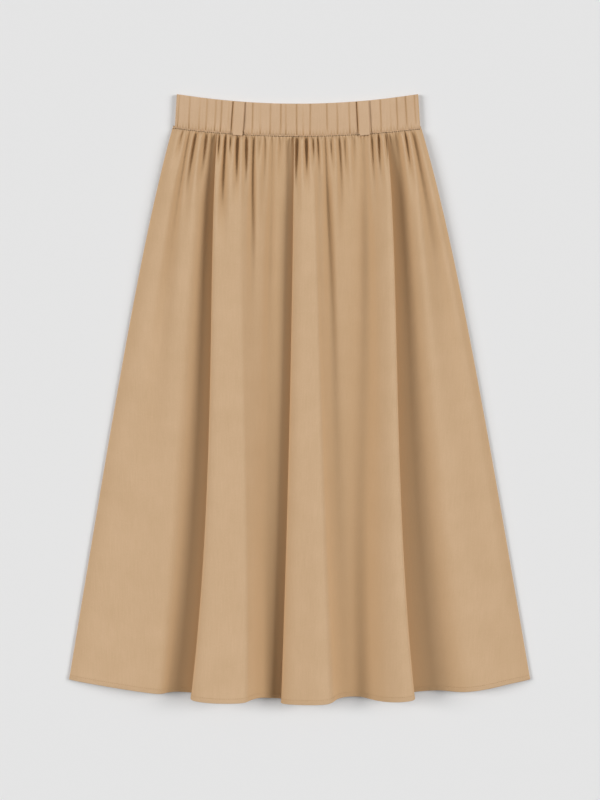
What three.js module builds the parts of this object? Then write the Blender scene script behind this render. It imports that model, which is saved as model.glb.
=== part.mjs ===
// A flared midi skirt with a gathered waist, laid flat on its back panel.
//
// Frame: millimetres, +Z up from the surface the skirt lies on, +Y towards the waist, +X to the right as
// seen from above. The origin is under the middle of the whole skirt, on that surface.
//
// The front panel lies on the back panel. Both are walls of cloth swept through sections from the waist
// seam down to the hem. A section runs across the panel through the fold lines of a table, so that a fold
// is a ridge, a valley, or an edge that turns back under itself. Short gathers are cut into the sections
// below the waist seam. The waistband is an elastic casing in two halves, with two belt loops on the front.
import * as THREE from "three";

// ---- Driving sizes ----
const CLOTH = 1.2; // wall of a single layer of cloth
const SEAM_GAP = 0.3; // clearance between pieces that are sewn or laid together
const SEAM_Y = 348.5; // waist seam, at the middle
const SEAM_RISE = 10.5; // how far the seam climbs from the middle to the sides
const SEAM_HALF = 165; // half width at which it has climbed that far
const HEM_Y = -400; // hem arc of the flat cut, at the middle
const HEM_RISE = 27; // how far the hem arc climbs to the side seams
const HEM_HALF = 307.9; // half width of the hem
const PANEL_LENGTH = 740; // side length of a panel, for the flare of its sides
const FRONT_LOW = 4.3; // lowest level of the front panel's middle line, clear of the back panel's folds
const SIDE_LOW = 2.1; // its level at the side seams, where it lies right on the back panel
const BACK_LOW = CLOTH / 2; // the back panel's middle line, where it lies on the surface
const BACK_HEM_LIFT = 4; // the back hem ends this much higher than the front one
const RISE_LENGTH = 11.5; // how quickly the cloth swells out below the waist seam
const RISE_POWER = 1.6; // above 1, the cloth leaves the seam flat before it swells

const BAND_HALF_TOP = 160.3; // waistband, half width at its upper edge
const BAND_HALF_SEAM = 164.2; // waistband, half width at the waist seam
const BAND_OFF_CENTRE = -1.8; // the waist lies slightly to the left of the hem's middle
const BAND_TOP_Y = 391; // upper edge, at the middle
const BAND_TOP_RISE = 12.6; // how far the upper edge climbs to the sides
const BAND_WALL = 2.6; // two layers of cloth with the elastic between them
const BAND_PUFF = 0.9; // how far the cloth swells between two creases

const LOOP_WALL = 1.6; // a strip folded to several layers and stitched flat
const LOOP_BOW = 2.2; // how far a loop stands off the waistband at its middle
const LOOP_PAST_SEAM = 2; // how far its lower end reaches past the waist seam

// How far each side seam lies from the middle line: at the waist seam, its straight flare, and the
// extra spring over the hip with the length over which it builds up.
const SIDES = {
  left: { waist: 168.2, flare: 119.6, spring: 17.8, over: 160 },
  right: { waist: 161.6, flare: 123.2, spring: 21.4, over: 175 },
};

// Fold lines of the front panel, from its left seam to its right seam. waist, mid and hem place the line
// as a share of the panel's width. near and far are its height above the panel's lowest level, close to
// the waist and at the hem. drop is how far the hem hangs below the hem arc there.
const FRONT_FOLDS = [
  { line: "left_seam", waist: 0.0, mid: 0.0, hem: 0.0, near: 0, far: 0, drop: 0 },
  { line: "left_side", waist: 0.018, mid: 0.022, hem: 0.022, near: 5, far: 3, drop: 0 },
  { line: "left_panel", waist: 0.055, mid: 0.08, hem: 0.09, near: 9, far: 8, drop: 0 },
  { line: "left_ridge", waist: 0.095, mid: 0.134, hem: 0.146, near: 11, far: 13, drop: 0 },
  { line: "left_lip", waist: 0.13, mid: 0.18, hem: 0.2, near: 13, far: 18, drop: 0 },
  { line: "a_slope", waist: 0.149, mid: 0.205, hem: 0.21, near: 6, far: 9, drop: -2 },
  { line: "a_valley", waist: 0.164, mid: 0.23, hem: 0.234, near: 2, far: 4, drop: -5 },
  { line: "a_under", waist: 0.2, mid: 0.292, hem: 0.3, near: 0, far: 0, drop: -4 },
  { line: "a_edge", waist: 0.176, mid: 0.254, hem: 0.262, near: 9, far: 15, drop: 0 },
  { line: "a_shoulder", waist: 0.184, mid: 0.258, hem: 0.266, near: 14, far: 28, drop: 3 },
  { line: "a_crown", waist: 0.212, mid: 0.292, hem: 0.318, near: 15, far: 31, drop: 4 },
  { line: "e_ridge", waist: 0.272, mid: 0.346, hem: 0.381, near: 15, far: 34, drop: 1 },
  { line: "e_break", waist: 0.284, mid: 0.356, hem: 0.39, near: 14, far: 30, drop: -2 },
  { line: "e_slope", waist: 0.33, mid: 0.38, hem: 0.404, near: 10, far: 18, drop: -4 },
  { line: "e_valley", waist: 0.385, mid: 0.405, hem: 0.418, near: 5, far: 9, drop: -4 },
  { line: "b_ridge", waist: 0.422, mid: 0.432, hem: 0.434, near: 6, far: 4, drop: -3 },
  { line: "b_valley", waist: 0.458, mid: 0.458, hem: 0.448, near: 2, far: 3, drop: -3 },
  { line: "b_under", waist: 0.515, mid: 0.503, hem: 0.486, near: 0, far: 1, drop: -1 },
  { line: "b_edge", waist: 0.484, mid: 0.472, hem: 0.456, near: 8, far: 10, drop: 1 },
  { line: "b_shoulder", waist: 0.492, mid: 0.476, hem: 0.462, near: 13, far: 17, drop: 3 },
  { line: "b_crown", waist: 0.53, mid: 0.515, hem: 0.512, near: 15, far: 26, drop: 3 },
  { line: "c_shoulder", waist: 0.562, mid: 0.556, hem: 0.562, near: 15, far: 32, drop: 2 },
  { line: "c_edge", waist: 0.568, mid: 0.566, hem: 0.576, near: 12, far: 25, drop: -2 },
  { line: "c_under", waist: 0.58, mid: 0.572, hem: 0.58, near: 10, far: 19, drop: -4 },
  { line: "c_slope", waist: 0.615, mid: 0.6, hem: 0.602, near: 9, far: 9.5, drop: -5 },
  { line: "c_ridge", waist: 0.67, mid: 0.635, hem: 0.62, near: 10, far: 3.5, drop: -4 },
  { line: "c_valley", waist: 0.762, mid: 0.678, hem: 0.639, near: 0, far: 0, drop: -2 },
  { line: "d_rise", waist: 0.79, mid: 0.705, hem: 0.665, near: 8, far: 12, drop: 2 },
  { line: "d_crown", waist: 0.83, mid: 0.735, hem: 0.702, near: 13, far: 27, drop: 4 },
  { line: "d_shoulder", waist: 0.854, mid: 0.766, hem: 0.744, near: 15.5, far: 33, drop: 3 },
  { line: "d_edge", waist: 0.864, mid: 0.775, hem: 0.753, near: 12, far: 24, drop: 0 },
  { line: "d_under", waist: 0.84, mid: 0.735, hem: 0.712, near: 1, far: 3, drop: -4 },
  { line: "d_valley", waist: 0.893, mid: 0.812, hem: 0.795, near: 0.5, far: 0, drop: -5 },
  { line: "right_slope", waist: 0.914, mid: 0.843, hem: 0.832, near: 9, far: 6, drop: 0 },
  { line: "right_lip", waist: 0.936, mid: 0.872, hem: 0.862, near: 13, far: 14, drop: 2 },
  { line: "right_ridge", waist: 0.955, mid: 0.912, hem: 0.91, near: 12, far: 12, drop: 2 },
  { line: "right_valley", waist: 0.968, mid: 0.947, hem: 0.955, near: 4, far: 6, drop: 0 },
  { line: "right_side", waist: 0.985, mid: 0.977, hem: 0.98, near: 8, far: 3, drop: 0 },
  { line: "right_seam", waist: 1.0, mid: 1.0, hem: 1.0, near: 0, far: 0, drop: 0 },
];

// Gathers of the front panel below the waist seam. at is where one starts, as a share of the seam,
// reach is how far down it fades out, cut is the share of the cloth's swell that it takes away,
// and half is its half width there in millimetres.
const FRONT_GATHERS = [
  { at: 0.07, reach: 330, cut: 0.6, half: 4.2 },
  { at: 0.097, reach: 90, cut: 0.7, half: 3.4 },
  { at: 0.135, reach: 40, cut: 0.65, half: 3.2 },
  { at: 0.214, reach: 75, cut: 0.6, half: 3.4 },
  { at: 0.262, reach: 40, cut: 0.5, half: 3.2 },
  { at: 0.296, reach: 44, cut: 0.5, half: 3.2 },
  { at: 0.325, reach: 150, cut: 0.65, half: 3.8 },
  { at: 0.373, reach: 60, cut: 0.65, half: 3.2 },
  { at: 0.402, reach: 300, cut: 0.8, half: 4.6 },
  { at: 0.434, reach: 46, cut: 0.6, half: 3.2 },
  { at: 0.502, reach: 50, cut: 0.7, half: 3.2 },
  { at: 0.537, reach: 42, cut: 0.55, half: 3.2 },
  { at: 0.583, reach: 40, cut: 0.55, half: 3.2 },
  { at: 0.612, reach: 340, cut: 0.6, half: 5.0 },
  { at: 0.668, reach: 95, cut: 0.7, half: 3.4 },
  { at: 0.691, reach: 60, cut: 0.7, half: 3.2 },
  { at: 0.727, reach: 46, cut: 0.7, half: 3.2 },
  { at: 0.763, reach: 320, cut: 0.85, half: 5.4 },
  { at: 0.802, reach: 60, cut: 0.65, half: 3.2 },
  { at: 0.9, reach: 46, cut: 0.7, half: 3.4 },
  { at: 0.934, reach: 60, cut: 0.55, half: 3.2 },
  { at: 0.961, reach: 330, cut: 0.65, half: 3.8 },
];

// Fold lines of the back panel, which the skirt's own weight presses nearly flat.
const BACK_FOLDS = [
  { line: "left_seam", waist: 0.0, mid: 0.0, hem: 0.0, near: 0, far: 0, drop: 0 },
  { line: "left_flat", waist: 0.08, mid: 0.09, hem: 0.09, near: 0, far: 0, drop: 0 },
  { line: "left_flat_end", waist: 0.16, mid: 0.17, hem: 0.18, near: 0.2, far: 0, drop: 0 },
  { line: "first_fold", waist: 0.23, mid: 0.22, hem: 0.21, near: 2.2, far: 1.8, drop: 0 },
  { line: "first_foot", waist: 0.3, mid: 0.27, hem: 0.24, near: 0.2, far: 0, drop: 0 },
  { line: "second_start", waist: 0.37, mid: 0.36, hem: 0.36, near: 0.2, far: 0, drop: 0 },
  { line: "second_fold", waist: 0.44, mid: 0.42, hem: 0.4, near: 2.2, far: 1.4, drop: 0 },
  { line: "second_foot", waist: 0.5, mid: 0.48, hem: 0.45, near: 0.2, far: 0, drop: 0 },
  { line: "third_start", waist: 0.57, mid: 0.58, hem: 0.57, near: 0.2, far: 0, drop: 0 },
  { line: "third_fold", waist: 0.64, mid: 0.63, hem: 0.61, near: 2.2, far: 1.8, drop: 0 },
  { line: "third_foot", waist: 0.71, mid: 0.68, hem: 0.65, near: 0.2, far: 0, drop: 0 },
  { line: "fourth_fold", waist: 0.78, mid: 0.77, hem: 0.76, near: 2.2, far: 1.5, drop: 0 },
  { line: "right_flat_start", waist: 0.85, mid: 0.83, hem: 0.82, near: 0.2, far: 0, drop: 0 },
  { line: "right_flat", waist: 0.92, mid: 0.91, hem: 0.91, near: 0, far: 0, drop: 0 },
  { line: "right_seam", waist: 1.0, mid: 1.0, hem: 1.0, near: 0, far: 0, drop: 0 },
];

// Creases of the elastic waistband. at is the share of its width, lean is how much further right the
// crease stands at the waist seam, in millimetres, and cut is the share of the swell that it takes away.
const BAND_CREASES = [
  { at: 0.012, lean: 0, cut: 0.7 },
  { at: 0.054, lean: 0.6, cut: 0.8 },
  { at: 0.1, lean: -0.5, cut: 0.6 },
  { at: 0.137, lean: 0, cut: 0.7 },
  { at: 0.171, lean: -0.4, cut: 0.7 },
  { at: 0.198, lean: -0.6, cut: 0.9 },
  { at: 0.322, lean: 0, cut: 0.9 },
  { at: 0.395, lean: 0, cut: 0.7 },
  { at: 0.437, lean: 0, cut: 0.9 },
  { at: 0.462, lean: 0.5, cut: 0.6 },
  { at: 0.502, lean: 0, cut: 0.9 },
  { at: 0.558, lean: -0.8, cut: 0.7 },
  { at: 0.627, lean: 0, cut: 0.9 },
  { at: 0.669, lean: 0.5, cut: 0.7 },
  { at: 0.718, lean: 0.4, cut: 0.7 },
  { at: 0.804, lean: 0.8, cut: 1 },
  { at: 0.85, lean: 0, cut: 0.8 },
  { at: 0.917, lean: 0, cut: 0.9 },
  { at: 0.953, lean: 0.4, cut: 0.9 },
  { at: 0.988, lean: 0, cut: 0.7 },
];
const CREASE_HALF = 2.4; // half width of a crease

// Belt loops: the middle of each loop's upper and lower end, as a share of the waistband's width.
const LOOPS = [
  { name: "belt_loop_left", top: 0.257, bottom: 0.252, width: 12.6 },
  { name: "belt_loop_right", top: 0.77, bottom: 0.773, width: 13.4 },
];

// ---- Curves shared by the pieces ----
const mix = (a, b, t) => a + (b - a) * t;
const seamY = (x) => SEAM_Y + SEAM_RISE * (x / SEAM_HALF) ** 2;
const hemArcY = (x) => HEM_Y + HEM_RISE * (x / HEM_HALF) ** 2;
const bandTopY = (x) => BAND_TOP_Y + BAND_TOP_RISE * ((x - BAND_OFF_CENTRE) / BAND_HALF_TOP) ** 2;

// Distance of a side seam from the middle line, at a share down of the panel.
function sideX(side, down) {
  return side.waist + side.flare * down + side.spring * (1 - Math.exp((-down * PANEL_LENGTH) / side.over));
}

// A value that is given at the waist, at half length and at the hem, anywhere between them: the parabola
// through the three.
function alongLine(waist, mid, hem, down) {
  const bend = 2 * (waist + hem) - 4 * mid;
  return waist + (hem - waist - bend) * down + bend * down * down;
}

// The uniform cubic B-spline through rows of numbers, clamped at both ends. place runs from 0 to rows - 1.
function spline(rows, place) {
  const first = Math.min(Math.floor(place), rows.length - 2);
  const t = place - first;
  const weights = [
    (1 - t) ** 3 / 6,
    (3 * t ** 3 - 6 * t ** 2 + 4) / 6,
    (-3 * t ** 3 + 3 * t ** 2 + 3 * t + 1) / 6,
    t ** 3 / 6,
  ];
  const at = (i) => {
    if (i < 0) return rows[0].map((v, k) => 2 * v - rows[1][k]);
    if (i >= rows.length) return rows[rows.length - 1].map((v, k) => 2 * v - rows[rows.length - 2][k]);
    return rows[i];
  };
  return rows[0].map((_, k) => weights.reduce((sum, w, j) => sum + w * at(first - 1 + j)[k], 0));
}

// What is left of the cloth's swell at a place along the waist seam, once the gathers have cut into it.
function gathered(gathers, waistX, waistWidth, leftX, down) {
  return gathers.reduce((left, g) => {
    const away = (waistX - (leftX + g.at * waistWidth)) / g.half;
    const passed = (down * PANEL_LENGTH) / g.reach;
    const fade = Math.exp(-passed * passed);
    return left * (1 - g.cut * fade * Math.exp(-away * away));
  }, 1);
}

// One point of a panel's middle surface.
function panelPoint(panel, place, down) {
  const left = -sideX(SIDES.left, down);
  const right = sideX(SIDES.right, down);
  const waistLeft = -sideX(SIDES.left, 0);
  const waistWidth = sideX(SIDES.right, 0) - waistLeft;
  const rows = panel.folds.map((f) => {
    const share = alongLine(f.waist, f.mid, f.hem, down);
    const waistX = waistLeft + f.waist * waistWidth;
    const hemX = mix(-HEM_HALF, HEM_HALF, f.hem);
    const x = mix(left, right, share);
    const y = mix(seamY(waistX) - SEAM_GAP / 2, hemArcY(hemX) - f.drop + panel.hemLift, down);
    const onSide = f.waist === 0 || f.waist === 1;
    return [x, y, onSide ? panel.sideLow : panel.low, mix(f.near, f.far, down), waistX];
  });
  const [x, y, low, lift, waistX] = spline(rows, place);
  const swell = 1 - Math.exp(-(((down * PANEL_LENGTH) / RISE_LENGTH) ** RISE_POWER));
  const cut = gathered(panel.gathers, waistX, waistWidth, waistLeft, down);
  return new THREE.Vector3(x, y, low + lift * swell * cut);
}

// ---- Walls of cloth ----
// A closed wall between two grids of points, upper and lower, which are lists of rows of Vector3.
function wallGeometry(upper, lower) {
  const across = upper[0].length;
  const down = upper.length;
  const points = [...upper.flat(), ...lower.flat()];
  const top = (i, j) => j * across + i;
  const bottom = (i, j) => down * across + j * across + i;
  const index = [];
  const quad = (a, b, c, d) => index.push(a, b, c, a, c, d);
  for (let j = 0; j < down - 1; j++) {
    for (let i = 0; i < across - 1; i++) {
      quad(top(i, j), top(i, j + 1), top(i + 1, j + 1), top(i + 1, j));
      quad(bottom(i, j), bottom(i + 1, j), bottom(i + 1, j + 1), bottom(i, j + 1));
    }
    quad(top(0, j), bottom(0, j), bottom(0, j + 1), top(0, j + 1));
    quad(top(across - 1, j), top(across - 1, j + 1), bottom(across - 1, j + 1), bottom(across - 1, j));
  }
  for (let i = 0; i < across - 1; i++) {
    quad(top(i, 0), top(i + 1, 0), bottom(i + 1, 0), bottom(i, 0));
    quad(top(i, down - 1), bottom(i, down - 1), bottom(i + 1, down - 1), top(i + 1, down - 1));
  }
  const geometry = new THREE.BufferGeometry();
  geometry.setAttribute("position", new THREE.Float32BufferAttribute(points.flatMap((p) => p.toArray()), 3));
  geometry.setIndex(index);
  geometry.computeVertexNormals();
  return geometry;
}

// Moves each point of a row half a wall away from its middle line, at right angles to the line within
// its own section.
function offsetRow(row, distance) {
  return row.map((p, i) => {
    const before = row[Math.max(i - 1, 0)];
    const after = row[Math.min(i + 1, row.length - 1)];
    const along = new THREE.Vector2(after.x - before.x, after.z - before.z).normalize();
    return new THREE.Vector3(p.x - along.y * distance, p.y, p.z + along.x * distance);
  });
}

// A panel of the skirt, through its sections.
function panelGeometry(panel) {
  const steps = (panel.folds.length - 1) * panel.stepsPerFold;
  const middle = panel.sections.map((downMm) =>
    Array.from({ length: steps + 1 }, (_, i) =>
      panelPoint(panel, i / panel.stepsPerFold, downMm / PANEL_LENGTH),
    ),
  );
  return wallGeometry(
    middle.map((row) => offsetRow(row, CLOTH / 2)),
    middle.map((row) => offsetRow(row, -CLOTH / 2)),
  );
}

// ---- Waistband and belt loops ----
// A place on the waistband: share across from the left, and share down from its upper edge to the seam.
function bandPlace(share, down, moved = 0) {
  const half = mix(BAND_HALF_TOP, BAND_HALF_SEAM, down);
  const x = BAND_OFF_CENTRE + mix(-half, half, share) + moved;
  return { x, y: mix(bandTopY(x), seamY(x) + SEAM_GAP / 2, down) };
}

// How far the waistband's cloth swells out at a share across it, between its creases.
function bandSwell(share) {
  const width = 2 * BAND_HALF_SEAM;
  return BAND_CREASES.reduce((left, c) => {
    const away = ((share - c.at) * width) / CREASE_HALF;
    return left * (1 - c.cut * Math.exp(-away * away));
  }, BAND_PUFF);
}

// Half of the waistband, with its swollen face up, or down with that face pressed flat.
function bandGeometry(bottomZ, swollen) {
  const crease = CREASE_HALF / (2 * BAND_HALF_SEAM);
  const places = BAND_CREASES.flatMap((c) => [
    [c.at - 1.5 * crease, c.lean],
    [c.at, c.lean],
    [c.at + 1.5 * crease, c.lean],
  ]);
  const columns = [[0, 0], ...places.filter(([at]) => at > 0.002 && at < 0.998), [1, 0]];
  const downs = [0, 0.12, 0.88, 1];
  const face = (z, swells) =>
    downs.map((down) =>
      columns.map(([share, lean]) => {
        const edge = down === 0 || down === 1 || share === 0 || share === 1;
        const { x, y } = bandPlace(share, down, lean * down);
        const drop = edge ? BAND_PUFF * 0.5 : 0;
        return new THREE.Vector3(x, y, z + (swells ? bandSwell(share) - drop : 0));
      }),
    );
  const body = BAND_WALL - (swollen ? BAND_PUFF * 0.5 : 0);
  return wallGeometry(face(bottomZ + body, swollen), face(bottomZ, false));
}

// A belt loop: a flat strip sewn down at both ends, which bows up between them.
function loopGeometry(loop, onZ) {
  const steps = 10;
  const half = loop.width / 2;
  const strip = (lift) =>
    Array.from({ length: steps + 1 }, (_, j) => {
      const down = j / steps;
      const top = bandPlace(loop.top, 0);
      const end = bandPlace(loop.bottom, 1);
      const x = mix(top.x, end.x, down);
      const y = mix(top.y, end.y - LOOP_PAST_SEAM, down);
      const z = onZ + lift + LOOP_BOW * Math.sin(Math.PI * down) ** 2;
      const slope = (bandPlace(loop.top + 0.01, 0).y - top.y) / (bandPlace(loop.top + 0.01, 0).x - top.x);
      return [-half, half].map((dx) => new THREE.Vector3(x + dx, y + slope * dx, z));
    });
  return wallGeometry(strip(LOOP_WALL), strip(0));
}

// ---- The pieces ----
const PANELS = {
  skirt_back: {
    folds: BACK_FOLDS,
    gathers: [],
    low: BACK_LOW,
    sideLow: BACK_LOW,
    hemLift: BACK_HEM_LIFT,
    stepsPerFold: 4,
    sections: [0, 12, 40, 110, 230, 380, 540, PANEL_LENGTH],
  },
  skirt_front: {
    folds: FRONT_FOLDS,
    gathers: FRONT_GATHERS,
    low: FRONT_LOW,
    sideLow: SIDE_LOW,
    hemLift: 0,
    stepsPerFold: 3,
    sections: [0, 5, 12, 24, 42, 72, 120, 190, 290, 400, 520, 640, PANEL_LENGTH],
  },
};

const cloth = new THREE.MeshStandardMaterial({
  color: 0xcba98a,
  roughness: 0.85,
  metalness: 0,
  side: THREE.DoubleSide,
});

const skirt = new THREE.Group();
skirt.name = "skirt";

function addPiece(name, geometry) {
  const piece = new THREE.Mesh(geometry, cloth.clone());
  piece.name = name;
  skirt.add(piece);
}

for (const [name, panel] of Object.entries(PANELS)) {
  addPiece(name, panelGeometry(panel));
}
const bandFrontZ = BAND_WALL + SEAM_GAP;
addPiece("waistband_back", bandGeometry(0, false));
addPiece("waistband_front", bandGeometry(bandFrontZ, true));
const loopZ = bandFrontZ + BAND_WALL + BAND_PUFF * 0.5 + SEAM_GAP;
for (const loop of LOOPS) {
  addPiece(loop.name, loopGeometry(loop, loopZ));
}

export default skirt;
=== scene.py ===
import math

import bpy
import numpy as np
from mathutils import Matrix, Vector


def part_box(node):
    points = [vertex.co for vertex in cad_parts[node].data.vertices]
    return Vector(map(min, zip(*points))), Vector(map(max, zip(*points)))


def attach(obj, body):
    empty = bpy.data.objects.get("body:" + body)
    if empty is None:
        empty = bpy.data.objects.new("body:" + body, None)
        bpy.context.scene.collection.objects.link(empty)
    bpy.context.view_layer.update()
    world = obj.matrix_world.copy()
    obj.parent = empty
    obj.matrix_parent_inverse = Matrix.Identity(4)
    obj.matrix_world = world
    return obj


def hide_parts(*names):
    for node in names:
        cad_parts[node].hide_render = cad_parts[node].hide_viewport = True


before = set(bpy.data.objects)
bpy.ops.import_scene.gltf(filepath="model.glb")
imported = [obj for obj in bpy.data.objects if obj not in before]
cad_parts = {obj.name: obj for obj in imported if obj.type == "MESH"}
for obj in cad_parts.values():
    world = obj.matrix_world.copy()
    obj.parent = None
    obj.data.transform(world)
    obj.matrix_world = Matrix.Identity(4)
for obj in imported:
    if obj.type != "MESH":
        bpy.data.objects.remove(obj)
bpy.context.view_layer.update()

MM = 0.001  # sizes below are in millimetres, and a mesh is put together in metres

# ---- Studio ----------------------------------------------------------------------------------------
# A pale sheet of card that the skirt lies on, seen from straight above. Two broad soft lights stand low
# to the left and the right, so that a fold shades the trough beside it. None of it is part of the skirt.
CAMERA_HEIGHT = 2.512  # metres above the card
CAMERA_LENS = 85
LIGHTS = [  # direction round the skirt from +X, height above the card, breadth (degrees), strength
    ("right_light", 6, 30, 26, 2.2),
    ("left_light", 175, 30, 26, 2.2),
    ("top_light", 85, 76, 40, 0.35),
]
ROOM_STRENGTH = 0.14
CARD = "#EAEAEA"


def linear(hex_colour):
    """An sRGB hex colour as linear red, green, blue and alpha."""
    srgb = np.array([int(hex_colour[i:i + 2], 16) for i in (1, 3, 5)]) / 255
    return (*np.where(srgb > 0.04045, ((srgb + 0.055) / 1.055) ** 2.4, srgb / 12.92), 1.0)


def add_node(tree, kind, inputs=(), **settings):
    """Adds a node with its settings. Each input, by name or number, is a value or the output linked to it."""
    node = tree.nodes.new(kind)
    for name, value in settings.items():
        setattr(node, name, value)
    for name, value in dict(inputs).items():
        if isinstance(value, bpy.types.NodeSocket):
            tree.links.new(value, node.inputs[name])
        else:
            node.inputs[name].default_value = value
    return node


def new_material(name):
    """An empty material with its output node, as (material, node tree, output)."""
    material = bpy.data.materials.new(name)
    material.use_nodes = True
    material.node_tree.nodes.clear()
    return material, material.node_tree, material.node_tree.nodes.new("ShaderNodeOutputMaterial")


def add_object(name, data):
    """Puts new data into the scene as an object at the origin."""
    new = bpy.data.objects.new(name, data)
    bpy.context.scene.collection.objects.link(new)
    return new


camera = add_object("camera", bpy.data.cameras.new("camera"))
camera.data.lens = CAMERA_LENS
camera.location = (0.0007, -0.002, CAMERA_HEIGHT)
bpy.context.scene.camera = camera
bpy.context.scene.view_settings.view_transform = "Standard"

for name, around, above, breadth, strength in LIGHTS:
    light = add_object(name, bpy.data.lights.new(name, "SUN"))
    light.data.energy = strength
    light.data.angle = math.radians(breadth)
    light.rotation_euler = (0, math.radians(90 - above), math.radians(around))

room = bpy.data.worlds.new("room")
room.use_nodes = True
room.node_tree.nodes["Background"].inputs["Strength"].default_value = ROOM_STRENGTH
room.node_tree.nodes["Background"].inputs["Color"].default_value = (1, 1, 1, 1)
bpy.context.scene.world = room

card_mesh = bpy.data.meshes.new("card")
card_corners = [(x, y, -0.0004) for x, y in ((-4, -4), (4, -4), (4, 4), (-4, 4))]
card_mesh.from_pydata(card_corners, [], [(0, 1, 2, 3)])
card = add_object("card", card_mesh)
card_material, tree, output = new_material("matt_card")  # plain pale card, which gives back no gloss
card_shader = add_node(tree, "ShaderNodeBsdfPrincipled",
                       {"Base Color": linear(CARD), "Roughness": 1.0, "Specular IOR Level": 0.0})
tree.links.new(card_shader.outputs["BSDF"], output.inputs["Surface"])
card_mesh.materials.append(card_material)

# ---- Front panel -----------------------------------------------------------------------------------
# The front of the skirt: a flared panel of brushed cotton twill, gathered into the waistband and lying in
# soft lengthwise folds. Its top edge is tucked into the waistband, its sides are sewn to the back panel,
# and its hem is turned up and stitched.
CLOTH = 0.45  # thickness of one layer
SEAM_Y, SEAM_RISE, SEAM_HALF = 348.35, 10.5, 165  # waist seam: its middle, and its climb to the sides
HEM_Y, HEM_RISE, HEM_HALF = -400, 27, 307.9  # hem arc of the flat cut, the same way
PANEL_LENGTH = 740
FRONT_LOW = 4.3  # lowest level of the front panel's middle line
SIDE_LOW = 2.1  # its level at the side seams
RISE_LENGTH, RISE_POWER = 3.8, 1.4  # how quickly the cloth puffs out below the waist seam
FOLD_RISE, PUFF_SHARE = 20, 0.68  # the folds reach their full height later than the puffs
TUCK = 3.5  # how far the top edge reaches into the waistband
HEM_TURN = 8  # width of the turned hem
HEM_STITCH = 5.6  # its stitch line, above the edge
HEM_FOLD = 0.5  # distance between the two layers of the hem
PUCKER = 0.95  # height of the small puckers that the gathering stitch leaves
PUCKER_WIDTH = 4.4
PUCKER_LENGTH = 9
LOOP_FEET = (-82.2, 85.5)  # the belt loops hold the gathers down where their lower ends are sewn
SHADE_REACH = 70  # columns of the grid over which a fold paints shade onto its neighbours

SIDES = {  # half width at the seam, straight flare, extra spring over the hip and its length
    "left": (168.2, 119.6, 17.8, 160),
    "right": (161.6, 123.2, 21.4, 175),
}
FOLD_COLUMNS = ("waist", "mid", "hem", "near", "far", "drop")
# A fold line's place as a share of the width at the waist, at half length and at the hem, its height
# near the waist and at the hem, and how far the hem hangs down there.
FRONT_FOLDS = np.array([
    (0.0, 0.0, 0.0, 0, 0, 0),  # left side seam
    (0.018, 0.022, 0.022, 5, 3, 0),
    (0.055, 0.08, 0.09, 9, 8, 0),
    (0.095, 0.134, 0.146, 11, 13, 0),
    (0.13, 0.18, 0.2, 13, 18, 0),
    (0.149, 0.205, 0.21, 6, 9, -2),
    (0.164, 0.23, 0.234, 2, 4, -5),  # trough left of the left fold
    (0.2, 0.292, 0.3, 0, 0, -4),  # tucked back under it
    (0.176, 0.254, 0.262, 9, 15, 0),  # its left edge
    (0.184, 0.258, 0.266, 14, 28, 3),
    (0.212, 0.292, 0.318, 15, 31, 4),
    (0.272, 0.346, 0.381, 15, 34, 1),  # its ridge
    (0.284, 0.356, 0.39, 14, 30, -2),
    (0.33, 0.38, 0.404, 10, 18, -4),
    (0.385, 0.405, 0.418, 5, 9, -4),
    (0.422, 0.432, 0.434, 6, 4, -3),
    (0.458, 0.458, 0.448, 2, 3, -3),  # trough left of the middle fold
    (0.515, 0.503, 0.486, 0, 1, -1),  # tucked back under it
    (0.484, 0.472, 0.456, 8, 10, 1),  # its left edge
    (0.492, 0.476, 0.462, 13, 17, 3),
    (0.53, 0.515, 0.512, 15, 26, 3),
    (0.562, 0.556, 0.562, 15, 32, 2),
    (0.568, 0.566, 0.576, 12, 25, -2),  # its right edge
    (0.58, 0.572, 0.58, 10, 19, -4),
    (0.615, 0.6, 0.602, 9, 9.5, -5),
    (0.67, 0.635, 0.62, 10, 3.5, -4),
    (0.762, 0.678, 0.639, 0, 0, -2),  # hollow left of the right fold
    (0.79, 0.705, 0.665, 8, 12, 2),
    (0.83, 0.735, 0.702, 13, 27, 4),
    (0.854, 0.766, 0.744, 15.5, 33, 3),  # crown of the right fold
    (0.864, 0.775, 0.753, 12, 24, 0),  # its right edge
    (0.84, 0.735, 0.712, 1, 3, -4),  # tucked back under it
    (0.893, 0.812, 0.795, 0.5, 0, -5),  # trough right of the right fold
    (0.914, 0.843, 0.832, 9, 6, 0),
    (0.936, 0.872, 0.862, 13, 14, 2),
    (0.955, 0.912, 0.91, 12, 12, 2),
    (0.968, 0.947, 0.955, 4, 6, 0),
    (0.985, 0.977, 0.98, 8, 3, 0),
    (1.0, 1.0, 1.0, 0, 0, 0),  # right side seam
], dtype=[(column, float) for column in FOLD_COLUMNS])
GATHER_COLUMNS = ("at", "reach", "cut", "half")
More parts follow.
